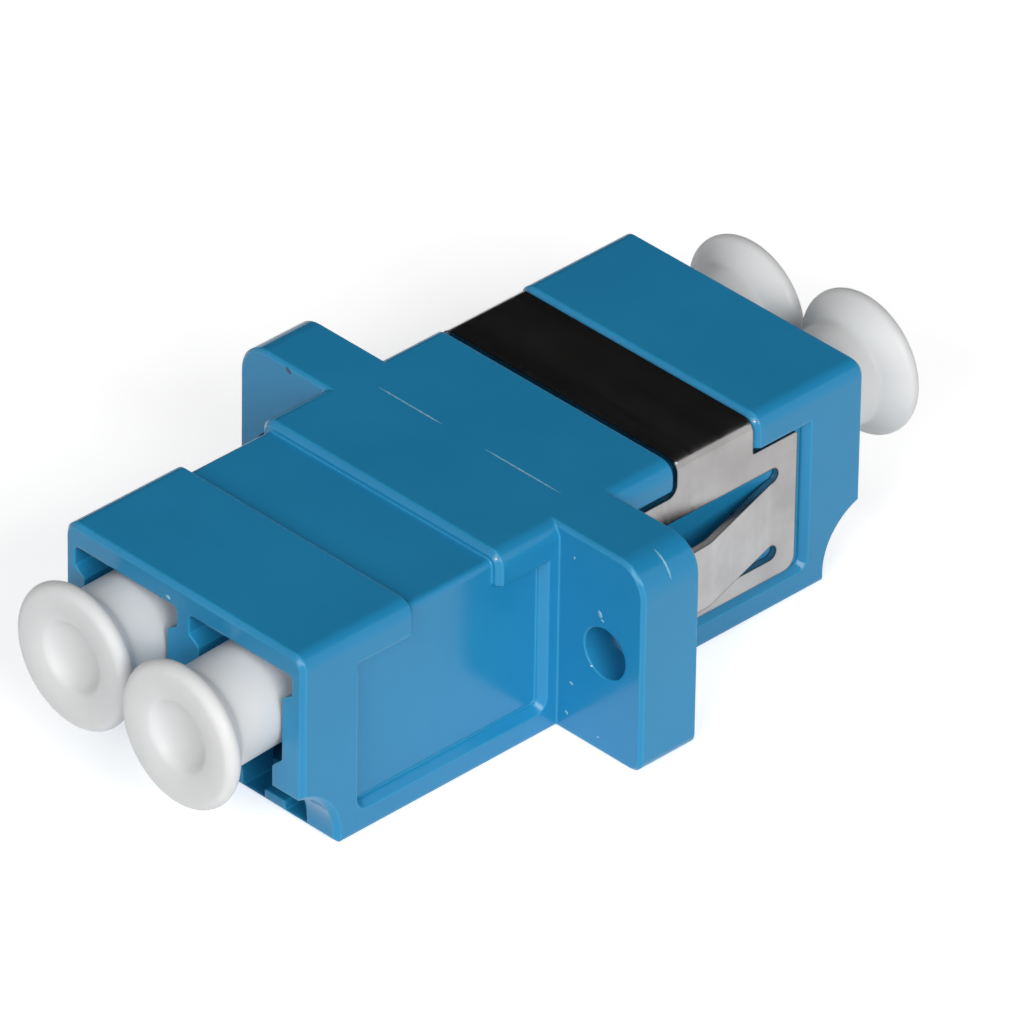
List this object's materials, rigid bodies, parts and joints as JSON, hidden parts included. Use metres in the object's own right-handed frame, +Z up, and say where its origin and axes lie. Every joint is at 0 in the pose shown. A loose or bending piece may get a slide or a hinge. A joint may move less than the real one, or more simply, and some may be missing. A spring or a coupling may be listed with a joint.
{
  "type": "lc fibre adapter",
  "caption": "Panel-mount coupler for small-form fibre plugs, with screw flange, spring clip, split sleeves and pull-out dust plugs.",
  "frame": {"origin": "centre of the bottom face, on the seam between the two housing halves", "axes": "+X across the ports towards the right one seen from the front, +Y along the fibres towards the half with the clip, +Z up, away from the latch side"},
  "size_m": [0.022, 0.0365, 0.0092],
  "materials": {
    "housing": "moulded, satin gloss",
    "clip": "rolled spring steel, smooth",
    "sleeve": "ground zirconia",
    "plug": "soft, smooth"
  },
  "bodies": {
    "adapter": {"front_housing": "housing", "rear_housing": "housing", "panel_clip": "clip", "split_sleeve_left": "sleeve", "split_sleeve_right": "sleeve"},
    "plug_front_left": {"dust_plug_front_left": "plug"},
    "plug_front_right": {"dust_plug_front_right": "plug"},
    "plug_rear_left": {"dust_plug_rear_left": "plug"},
    "plug_rear_right": {"dust_plug_rear_right": "plug"}
  },
  "joints": [
    {"name": "front_left_plug_slide", "type": "slide", "parent": "adapter", "child": "plug_front_left", "axis": [0, -1, 0], "range_m": [-0.00055, 0.01285]},
    {"name": "front_right_plug_slide", "type": "slide", "parent": "adapter", "child": "plug_front_right", "axis": [0, -1, 0], "range_m": [-0.001, 0.0124]},
    {"name": "rear_left_plug_slide", "type": "slide", "parent": "adapter", "child": "plug_rear_left", "axis": [0, 1, 0], "range_m": [-0.00135, 0.01205]},
    {"name": "rear_right_plug_slide", "type": "slide", "parent": "adapter", "child": "plug_rear_right", "axis": [0, 1, 0], "range_m": [-0.00125, 0.01215]}
  ]
}
